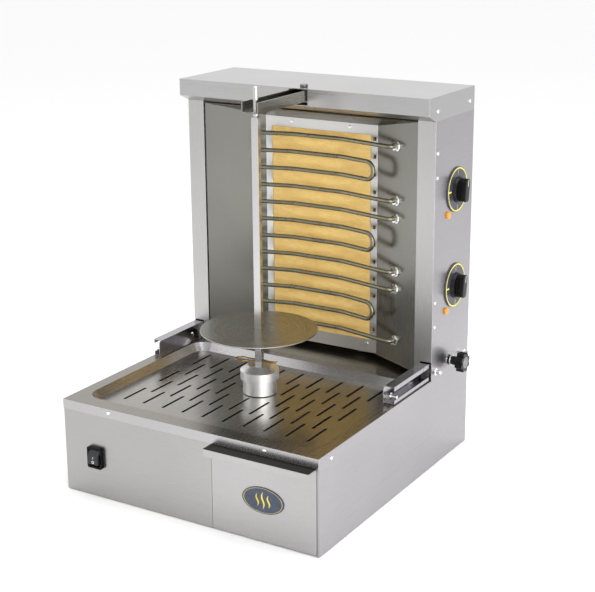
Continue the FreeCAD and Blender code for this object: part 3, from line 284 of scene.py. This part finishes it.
coupling_low, coupling_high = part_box("spit_coupling")
coupling_middle = (coupling_low + coupling_high) / 2
spit_axis = Vector((coupling_middle.x, coupling_middle.y, 0))
disc_steel = turned_metal("stainless_spun_disc", "#A3A199", "#A09E96", spit_axis, 0.9, 0.0001, 0.27, 0.4)
turned_alloy = turned_metal("aluminium_turned", "#F8F8F9", "#F0F0F1", spit_axis, 0.6, 0.002, 0.40, 0.0)
print("spit axis", [round(v, 4) for v in spit_axis])

# %% [markdown]
# ## Small metals
# Plated fasteners are bright and almost smooth. The clip is hard brass wire. The heating rods are
# nickel alloy tubes that have grown a dark, slightly green oxide, paler where it has been handled.
# The gearbox is sand cast, so its skin is grainy; the gears are dark oiled steel. The arm's screw has
# gone dull in the heat. One flat colour would nearly do for things this small. A light speckle in tone
# and gloss costs one noise, and it holds up when the view comes close.


# %% Small metals
def plain_metal(name, light, dark, grain_mm, roughness, bump_mm=0.01, edge_mm=0.3):
    """Metal with an even skin and a speckle of the given grain size."""
    made, tree, shader = material(name, Metallic=1.0)
    grain = stretched(tree, (grain_mm,) * 3, Detail=3.0)
    shade = add(tree, "MapRange", between(0.35, 0.65), {"Value": grain}).outputs["Result"]
    dress(tree, shader, (dark, light), shade, grain, (roughness * 0.8, roughness * 1.3), bump_mm, 0.6,
          edge_mm)
    return made


plated_steel = plain_metal("steel_zinc_plated", "#F2F2F0", "#E2E2DF", 3.0, 0.14)
spring_brass = plain_metal("brass_spring_wire", "#C9A256", "#8E6C34", 4.0, 0.2)
dulled_screw = plain_metal("steel_dulled_screw", "#8B8980", "#6E6C64", 3.0, 0.25)
oxide_tube = plain_metal("alloy_tube_oxidised", "#85826F", "#7A7766", 14.0, 0.30, 0.002, 1.4)
cast_alloy = plain_metal("aluminium_sand_cast", "#A9AAAC", "#86878A", 1.6, 0.5, 0.12, 0.8)
oiled_steel = plain_metal("steel_oiled_gear", "#6A6A6C", "#4C4C4E", 2.0, 0.3, 0.02)
print("six small metals")

# %% [markdown]
# ## Plastics, rubber, paint and lenses
# The knobs are moulded phenolic, matt with a fine spark-eroded skin. The switch is glossy
# polycarbonate. The slide blocks are dark oil-filled nylon. The lamp lenses are clear amber plastic
# over a lamp that is off, and a faint emission paints a glow into them. The motor is enamelled, with a
# faint orange peel. A handled skin is never one flat colour, so each goes a little darker in patches the
# size of a fingertip. Wear could be painted on by hand, but a noise gives it to every piece at the same
# real size.


# %% Moulded, painted and clear
PATCH_MM = 25.0
PATCH_TONE = 0.86            # brightness of a patch beside the clean skin


def moulded(name, colour, roughness, grain_mm, bump_mm, edge_mm=0.5, **settings):
    """A moulded or painted skin of one colour with a fine grain."""
    made, tree, shader = material(name, **settings)
    grain = stretched(tree, (grain_mm,) * 3, Detail=2.0)
    wear = stretched(tree, (PATCH_MM,) * 3, offset=2.0)
    dark = "#" + "".join("%02X" % int(int(colour[i:i + 2], 16) * PATCH_TONE) for i in (1, 3, 5))
    shade = add(tree, "MapRange", between(0.35, 0.65), {"Value": wear}).outputs["Result"]
    dress(tree, shader, (dark, colour), shade, grain, (roughness * 0.9, roughness * 1.15), bump_mm, 0.5,
          edge_mm)
    return made


phenolic = moulded("phenolic_black", "#070708", 0.3, 0.8, 0.02, IOR=1.6, Specular_IOR_Level=0.2)
black_polycarbonate = moulded("polycarbonate_black", "#030303", 0.2, 3.0, 0.005, IOR=1.58,
                              Specular_IOR_Level=0.1)
rocker_polycarbonate = moulded("polycarbonate_slate", "#23282D", 0.35, 3.0, 0.005, IOR=1.58,
                               Specular_IOR_Level=0.3)
grey_insert = moulded("abs_grey", "#8B8D8E", 0.45, 0.8, 0.01, IOR=1.54)
slide_nylon = moulded("nylon_oil_filled", "#3F3F3C", 0.35, 1.5, 0.02, IOR=1.53)
moulded_rubber = moulded("rubber_black", "#1B1B1B", 0.75, 1.0, 0.05, IOR=1.52)
motor_enamel = moulded("enamel_dark_grey", "#2A2C2E", 0.3, 1.8, 0.03, IOR=1.5)
dial_enamel = moulded("enamel_violet_grey", "#3A3847", 0.28, 1.2, 0.01, 0.4, IOR=1.5)
yellow_ink = moulded("ink_yellow", "#EDE45A", 0.45, 1.0, 0.0, 0.0, IOR=1.5)
gold_ink = moulded("ink_gold", "#E8CE3C", 0.4, 1.0, 0.0, 0.0, IOR=1.5)
white_ink = moulded("ink_white", "#E9E9E6", 0.45, 1.0, 0.0, 0.0, IOR=1.5)
badge_blue = moulded("enamel_badge_blue", "#39465A", 0.25, 2.0, 0.005, 0.4, IOR=1.5)
amber_lens = moulded("acrylic_amber", "#F6A21C", 0.12, 3.0, 0.0, 0.3, IOR=1.49)
amber_shader = amber_lens.node_tree.nodes["Principled BSDF"]
amber_shader.inputs["Transmission Weight"].default_value = 0.25
# A faint painted glow: the lamp behind is off, so this emission stands in for light in the lens.
amber_shader.inputs["Emission Color"].default_value = linear("#F29A14")
amber_shader.inputs["Emission Strength"].default_value = 0.12
print("plastics and paints")

# %% [markdown]
# ## The heat board
# Behind the rods stands a pressed board of mineral fibre. It is golden tan, mottled by fibres a few
# millimetres long, flecked with small darker specks, and browner in soft bands where each rod has
# baked it. The bands could be painted on the mesh. The rods are evenly spaced, so a wave in height
# finds them all with two numbers.


# %% Mineral board
ROD_PITCH = 33.6 * MM
BAND_START = 600 * MM       # height at which the bands are counted from
FIBRE_MM = (14, 14, 2.2)
BLOTCH_MM = (55, 55, 30)
SPECK_SPACING = 6 * MM


def mineral_board():
    """Pressed mineral fibre, mottled, flecked with dark specks and baked in bands."""
    made, tree, shader = material("mineral_fibre_board", Roughness=0.85, IOR=1.45)
    fibres = stretched(tree, FIBRE_MM, Detail=5.0, Roughness=0.7)
    mottle = add(tree, "MapRange", between(NOISE_LOW, NOISE_HIGH), {"Value": fibres}).outputs["Result"]
    tone = add(tree, "Mix", {"data_type": "RGBA", 6: linear("#E3BC6C"), 7: linear("#F1D288")},
               {0: mottle}).outputs[2]
    blotches = stretched(tree, BLOTCH_MM, offset=4.0)
    stain = add(tree, "MapRange", between(0.45, 0.75, 0.0, 0.6), {"Value": blotches})
    tone = overlaid(tree, tone, "#D2A457", stain.outputs["Result"])
    phase = add(tree, "Math", {"operation": "MULTIPLY_ADD", 1: 1 / ROD_PITCH, 2: -BAND_START / ROD_PITCH},
                {0: height_over_floor(tree)}).outputs[0]
    wave = add(tree, "Math", {"operation": "PINGPONG", 1: 0.5}, {0: phase}).outputs[0]
    band = add(tree, "MapRange", between(0.0, 0.32, 0.75, 0.0), {"Value": wave}).outputs["Result"]
    baked = add(tree, "Math", {"operation": "MULTIPLY", 1: 0.45}, {0: band}).outputs[0]
    tone = overlaid(tree, tone, "#C79D55", baked)
    place = add(tree, "TexCoord").outputs["Object"]
    # Small spots in a cell pattern are painted darker, as dark specks in the board.
    cells = add(tree, "TexVoronoi", {"Scale": 1 / SPECK_SPACING}, {"Vector": place}).outputs["Distance"]
    pit = add(tree, "MapRange", between(0.05, 0.16, 1.0, 0.0), {"Value": cells}).outputs["Result"]
    speck_share = add(tree, "Math", {"operation": "MULTIPLY", 1: 0.35}, {0: pit}).outputs[0]
    tree.links.new(overlaid(tree, tone, "#7B5A2A", speck_share), shader.inputs["Base Color"])
    bump = add(tree, "Bump", {"Distance": 0.25 * MM, "Strength": 0.8}, {"Height": fibres})
    tree.links.new(bump.outputs["Normal"], shader.inputs["Normal"])
    return made


fibre_board = mineral_board()
print("board ready")

# %% [markdown]
# ## Give each solid its finish
# A folded panel shows its brush lines along its longer side, so the panels that face front take lines
# across, the sides take lines front to back, and the narrow uprights take upright lines. Each solid
# could get its material by hand. One table is shorter to read, and its last line names any solid that
# was forgotten.

# %% Finishes of the solids
finishes = {
    sheet_steel: ["rear_cover", "hood", "base_tray", "arm_clamp_pad"],
    front_shaded_steel: ["front_panel"],
    drawer_shaded_steel: ["drawer_front"],
    arm_steel: ["top_arm"],
    rail_steel: ["rail_left", "rail_right"],
    side_shaded_steel: ["side_panel_left", "side_panel_right", "drawer_tray", "drawer_runners", "arm_guide",
                 "motor_bracket"],
    pillar_steel: ["pillar_left", "pillar_right"],
    frame_lit_steel: ["back_frame", "board_tray"],
    left_wall_dulled_shaded_steel: ["inner_wall_left"],
    right_wall_steel: ["inner_wall_right"],
    smoked_steel: ["ceiling_plate"],
    dusty_steel: ["tower_floor", "carriage_base"],
    deck_steel: ["slotted_plate"],
    pan_steel: ["top_deck"],
    bar_steel: ["spit_rod", "disc_pin", "drive_shaft"],
    disc_steel: ["spit_disc"],
    turned_alloy: ["spit_coupling"],
    dulled_screw: ["arm_clamp_screw"],
    plated_steel: ["element_nuts", "clamp_nuts", "clamp_shoe_left", "clamp_shoe_right",
                   "panel_screws", "carriage_screws"],
    spring_brass: ["spit_clip"],
    oxide_tube: ["heating_element_1", "heating_element_2", "heating_element_3"],
    cast_alloy: ["gearbox_housing"],
    oiled_steel: ["drive_gear", "motor_pinion"],
    phenolic: ["star_knob_left", "star_knob_right", "control_knob_upper", "control_knob_lower",
               "energy_regulators", "cable_gland"],
    black_polycarbonate: ["switch_bezel"],
    rocker_polycarbonate: ["switch_rocker"],
    slide_nylon: ["guide_blocks"],
    moulded_rubber: ["rubber_feet"],
    motor_enamel: ["motor_can"],
    dial_enamel: ["dial_plates"],
    badge_blue: ["badge_plate"],
    amber_lens: ["pilot_lights"],
    fibre_board: ["reflector_board"],
}
for finish, names in finishes.items():
    for name in names:
        mesh = nodes[name].data
        mesh.materials.clear()
        mesh.materials.append(finish)
left_over = sorted(set(nodes) - {name for names in finishes.values() for name in names})
print("solids without a finish:", left_over)

# %% [markdown]
# ## Helpers for the small added pieces
# Printed marks and raised trim are thin flat shapes. Each is drawn as an outline on a plane, given a
# few tenths of a millimetre of thickness, and set on the face that carries it. They could be printed
# as a pattern in the material instead. Real outlines stay sharp at any distance and go with the body
# that carries them.


# %% Helpers for added pieces
def piece(name, bm, finish, body):
    """Turns a bmesh into a piece that rides on a body."""
    mesh = bpy.data.meshes.new(name)
    bmesh.ops.recalc_face_normals(bm, faces=bm.faces)
    bm.to_mesh(mesh)
    bm.free()
    mesh.materials.append(finish)
    made = bpy.data.objects.new(name, mesh)
    bpy.context.scene.collection.objects.link(made)
    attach(made, body)


def slab(bm, outline, frame_matrix, thick, holes=()):
    """Adds a flat shape of a given thickness: outline and holes are (x, y) rings in the plane."""
    edges = []
    for ring in (outline, *holes):
        corners = [bm.verts.new(frame_matrix @ Vector((x, y, 0))) for x, y in ring]
        edges += [bm.edges.new((corners[i - 1], corners[i])) for i in range(len(corners))]
    filled = bmesh.ops.triangle_fill(bm, use_beauty=True, edges=edges)
    faces = [g for g in filled["geom"] if isinstance(g, bmesh.types.BMFace)]
    lifted = bmesh.ops.extrude_face_region(bm, geom=faces)
    shift = frame_matrix.to_3x3() @ Vector((0, 0, thick))
    bmesh.ops.translate(bm, verts=[g for g in lifted["geom"] if isinstance(g, bmesh.types.BMVert)],
                        vec=shift)


def circle(radius, count=64, centre=(0, 0), squeeze=1.0):
    """A ring of points; squeeze flattens it to an ellipse."""
    return [(centre[0] + radius * math.cos(2 * math.pi * k / count),
             centre[1] + radius * squeeze * math.sin(2 * math.pi * k / count)) for k in range(count)]


def bar(x0, x1, y0, y1):
    """The corners of a rectangle."""
    return [(x0, y0), (x1, y0), (x1, y1), (x0, y1)]


def plane(origin, across, upward):
    """A matrix whose x and y lie in a face and whose z points out of it."""
    across, upward = Vector(across).normalized(), Vector(upward).normalized()
    outward = across.cross(upward)
    return Matrix.Translation(Vector(origin)) @ Matrix((across, upward, outward)).transposed().to_4x4()


INK = 0.15 * MM              # thickness of a printed mark
FINE_RING, SMALL_RING = 96, 48   # points in a circle
print("piece helpers ready")

# %% [markdown]
# ## Dial marks and knob pointers
# Each round plate has a yellow ring near its edge and marks for off and for the steps. The marks are
# printed, so they stand only a tenth or two of a millimetre proud. The knob's grip carries a white
# line on its front and on the end that points to the marks. A slab with a hole makes the ring, and
# one bar turned four times makes the marks, so that all of them share the middle of the knob.

# %% Dial marks and pointers
face_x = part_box("dial_plates")[1].x
ring_outer, ring_inner, mark_start = 40.6 * MM, 38.4 * MM, 28.0 * MM
step_wide, off_wide = 0.8 * MM, 2.6 * MM
knob_tilt = math.radians(8)
grip_half = 21.5 * MM        # from the knob's axis to the end of its grip
half_line = 0.8 * MM
front_from, front_to = 7 * MM, 19.5 * MM    # the line on the front, out from the knob's axis
end_from, end_to = 2 * MM, 13 * MM          # the line on the end, back from the front
for level_name in ("upper", "lower"):
    knob_low, knob_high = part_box("control_knob_" + level_name)
    middle = (knob_low + knob_high) / 2
    on_face = plane((face_x, middle.y, middle.z), (0, 1, 0), (0, 0, 1))
    marks = bmesh.new()
    slab(marks, circle(ring_outer, FINE_RING), on_face, INK, [circle(ring_inner, FINE_RING)])
    for turn, wide in ((0, step_wide), (90, step_wide), (180, off_wide), (270, step_wide)):
        spin = on_face @ Matrix.Rotation(math.radians(turn), 4, "Z")
        slab(marks, bar(mark_start, ring_inner, -wide / 2, wide / 2), spin, INK)
    piece("dial_marks_" + level_name, marks, yellow_ink, "casing")
    along = Vector((0, math.sin(knob_tilt), math.cos(knob_tilt)))
    across = Vector((0, math.cos(knob_tilt), -math.sin(knob_tilt)))
    front_middle = Vector((knob_high.x, middle.y, middle.z))
    on_front = plane(front_middle, across, along)
    on_end = plane(front_middle + along * grip_half, across, (-1, 0, 0))
    pointer = bmesh.new()
    slab(pointer, bar(-half_line, half_line, front_from, front_to), on_front, INK)
    slab(pointer, bar(-half_line, half_line, end_from, end_to), on_end, -INK)
    piece("knob_pointer_" + level_name, pointer, white_ink, "dial_" + level_name)
    print("dial", level_name, "at", [round(v, 3) for v in middle])

# %% [markdown]
# ## Rocker marks
# The rocker carries the two signs for on and off, a bar over a ring, printed in white on its lower
# half, which stands out while the switch is off. The face leans a little, so the plane leans too. A
# text object could give the two signs, but a bar and a ring need no font.

# %% Rocker marks
rocker_low, rocker_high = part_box("switch_rocker")
rocker_lean = math.radians(3.9)
foot_rise = 2.415 * MM       # the marked face starts this far above the rocker's lowest point
face_foot = Vector(((rocker_low.x + rocker_high.x) / 2, rocker_low.y, rocker_low.z + foot_rise))
lean = Vector((0, math.sin(rocker_lean), math.cos(rocker_lean)))
on_rocker = plane(face_foot, (1, 0, 0), lean)
on_half, on_from, on_to = 0.5 * MM, 10.4 * MM, 14.2 * MM
off_middle = (0, 4.4 * MM)
off_outer, off_inner = 2.7 * MM, 1.7 * MM
signs = bmesh.new()
slab(signs, bar(-on_half, on_half, on_from, on_to), on_rocker, INK)
slab(signs, circle(off_outer, 40, off_middle), on_rocker, INK, [circle(off_inner, 40, off_middle)])
piece("rocker_signs", signs, white_ink, "rocker")
print("rocker signs at", [round(v, 4) for v in face_foot])

# %% [markdown]
# ## The badge
# The oval plate on the drawer is enamelled sheet with printed gold. Here it carries a plain ornament
# of no maker: a fine border and three lines of rising heat. Each line is a bent ribbon. A curve with a
# bevel would draw it round, like a wire. An outline keeps it flat, as print is, and lets it swell in the
# middle.

# %% Badge ornament
badge_low, badge_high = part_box("badge_plate")
badge_middle = (badge_low + badge_high) / 2
badge_half = (badge_high.x - badge_low.x) / 2
badge_squeeze = (badge_high.z - badge_low.z) / (badge_high.x - badge_low.x)
on_badge = plane((badge_middle.x, badge_low.y, badge_middle.z), (1, 0, 0), (0, 0, 1))
border_outer, border_inner = (circle(badge_half * share, FINE_RING, squeeze=badge_squeeze)
                              for share in (0.93, 0.91))
ornament = bmesh.new()
slab(ornament, border_outer, on_badge, INK, [border_inner])
sway, belly, tip = 2.2 * MM, 1.5 * MM, 0.2 * MM    # bend of a line, half its width at the middle and ends
line_steps = 20
for shift, half_tall in ((-11 * MM, 11 * MM), (0, 15 * MM), (11 * MM, 11 * MM)):
    left, right_side = [], []
    for k in range(line_steps + 1):
        share = k / line_steps
        x = shift + sway * math.sin(2 * math.pi * share)
        z = (share - 0.5) * 2 * half_tall
        half_width = belly * math.sin(math.pi * share) + tip
        left.append((x - half_width, z))
        right_side.append((x + half_width, z))
    slab(ornament, left + right_side[::-1], on_badge, INK)
piece("badge_ornament", ornament, gold_ink, "drawer")
print("badge", round(badge_half * 2 / MM), "mm wide")

# %% [markdown]
# ## Caps and washers of the star knobs
# Each star grip has a grey moulded disc pressed into its end, with fine radial ribs that help a greasy
# hand. A bump could stand for the ribs, but real steps catch the light at the rim. A plated washer
# sits on the neck of the grip, near the panel, and turns with it.

# %% Star caps and washers
cap_radius, cap_thick = 11 * MM, 0.5 * MM
rib_count, rib_inner, rib_outer, rib_half, rib_high = 14, 4 * MM, 10.5 * MM, 0.5 * MM, 1.1 * MM
washer_outer, washer_inner, washer_thick = 9.9 * MM, 8.55 * MM, 2.2 * MM
washer_inset = 29.4 * MM     # from the end of the grip back to the washer
for side_name, way in (("left", -1), ("right", 1)):
    knob_low, knob_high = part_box("star_knob_" + side_name)
    middle = (knob_low + knob_high) / 2
    outer = knob_high.x if way > 0 else knob_low.x
    on_end = plane((outer, middle.y, middle.z), (0, way, 0), (0, 0, 1))
    cap = bmesh.new()
    slab(cap, circle(cap_radius, SMALL_RING), on_end, cap_thick)
    for k in range(rib_count):
        spin = on_end @ Matrix.Rotation(2 * math.pi * k / rib_count, 4, "Z")
        slab(cap, bar(rib_inner, rib_outer, -rib_half, rib_half), spin, rib_high)
    piece("star_cap_" + side_name, cap, grey_insert, "star_" + side_name)
    on_neck = plane((outer - way * washer_inset, middle.y, middle.z), (0, way, 0), (0, 0, 1))
    washer = bmesh.new()
    slab(washer, circle(washer_outer, SMALL_RING), on_neck, washer_thick,
         [circle(washer_inner, SMALL_RING)])
    piece("star_washer_" + side_name, washer, plated_steel, "star_" + side_name)
    print("cap and washer", side_name)

# %% [markdown]
# ## Floor and light
# The grill stands on a pale floor. A metal object shows its surroundings more than its own colour, so
# the light is a set of large soft boxes with paler and darker air between them. The air behind the
# grill is white, and the air in front of it is a little greyer on the left than on the right. A panorama
# of a real studio would light it too, but each soft box can be set for the faces that it has to show.

# %% Studio
floor_mesh = bmesh.new()
bmesh.ops.create_grid(floor_mesh, x_segments=1, y_segments=1, size=12)   # m, half the side
floor_data = bpy.data.meshes.new("studio_floor")
floor_mesh.to_mesh(floor_data)
floor_mesh.free()
floor = bpy.data.objects.new("studio_floor", floor_data)
bpy.context.scene.collection.objects.link(floor)
floor_paint, floor_tree, floor_shader = material("floor_matt_paint", Roughness=0.9)
floor_shader.inputs["Base Color"].default_value = linear("#FBFBFB")
floor_data.materials.append(floor_paint)

world = bpy.data.worlds.new("studio_air")
world.use_nodes = True
bpy.context.scene.world = world
sky = world.node_tree
backdrop = sky.nodes["Background"]
direction = add(sky, "TexCoord").outputs["Generated"]
parts = add(sky, "SeparateXYZ", {}, {0: direction}).outputs
dim_left_light_right = add(sky, "MapRange", between(-0.7, 0.7, 0.62, 0.95), {"Value": parts["X"]})
front_to_back = add(sky, "MapRange", between(-0.5, 0.4), {"Value": parts["Y"]})
grey = add(sky, "Mix", {3: 1.0}, {0: front_to_back.outputs["Result"],
                                  2: dim_left_light_right.outputs["Result"]}).outputs[0]
sky.links.new(add(sky, "CombineColor", {}, {channel: grey for channel in range(3)}).outputs[0],
              backdrop.inputs["Color"])
backdrop.inputs["Strength"].default_value = 1.1


def soft_box(name, place, aim, size, watts):
    """An area light, in metres and watts, that faces a point."""
    data = bpy.data.lights.new(name, "AREA")
    data.shape = "RECTANGLE"
    data.size, data.size_y = size
    data.energy = watts
    light = bpy.data.objects.new(name, data)
    light.location = place
    light.rotation_euler = (Vector(aim) - Vector(place)).to_track_quat("-Z", "Y").to_euler()
    bpy.context.scene.collection.objects.link(light)


soft_box("key_box", (2.1, -1.9, 1.5), (0, 0, 0.2), (1.6, 1.6), 34)
soft_box("low_side_box", (1.25, -0.35, 0.35), (0.26, 0, 0.08), (1.0, 0.5), 5)
soft_box("fill_box", (-2.2, -1.6, 1.2), (0, 0, 0.3), (1.4, 1.4), 8)
soft_box("top_box", (0.1, 0.3, 2.6), (0, 0, 0.3), (2.0, 2.0), 26)
print("studio ready")
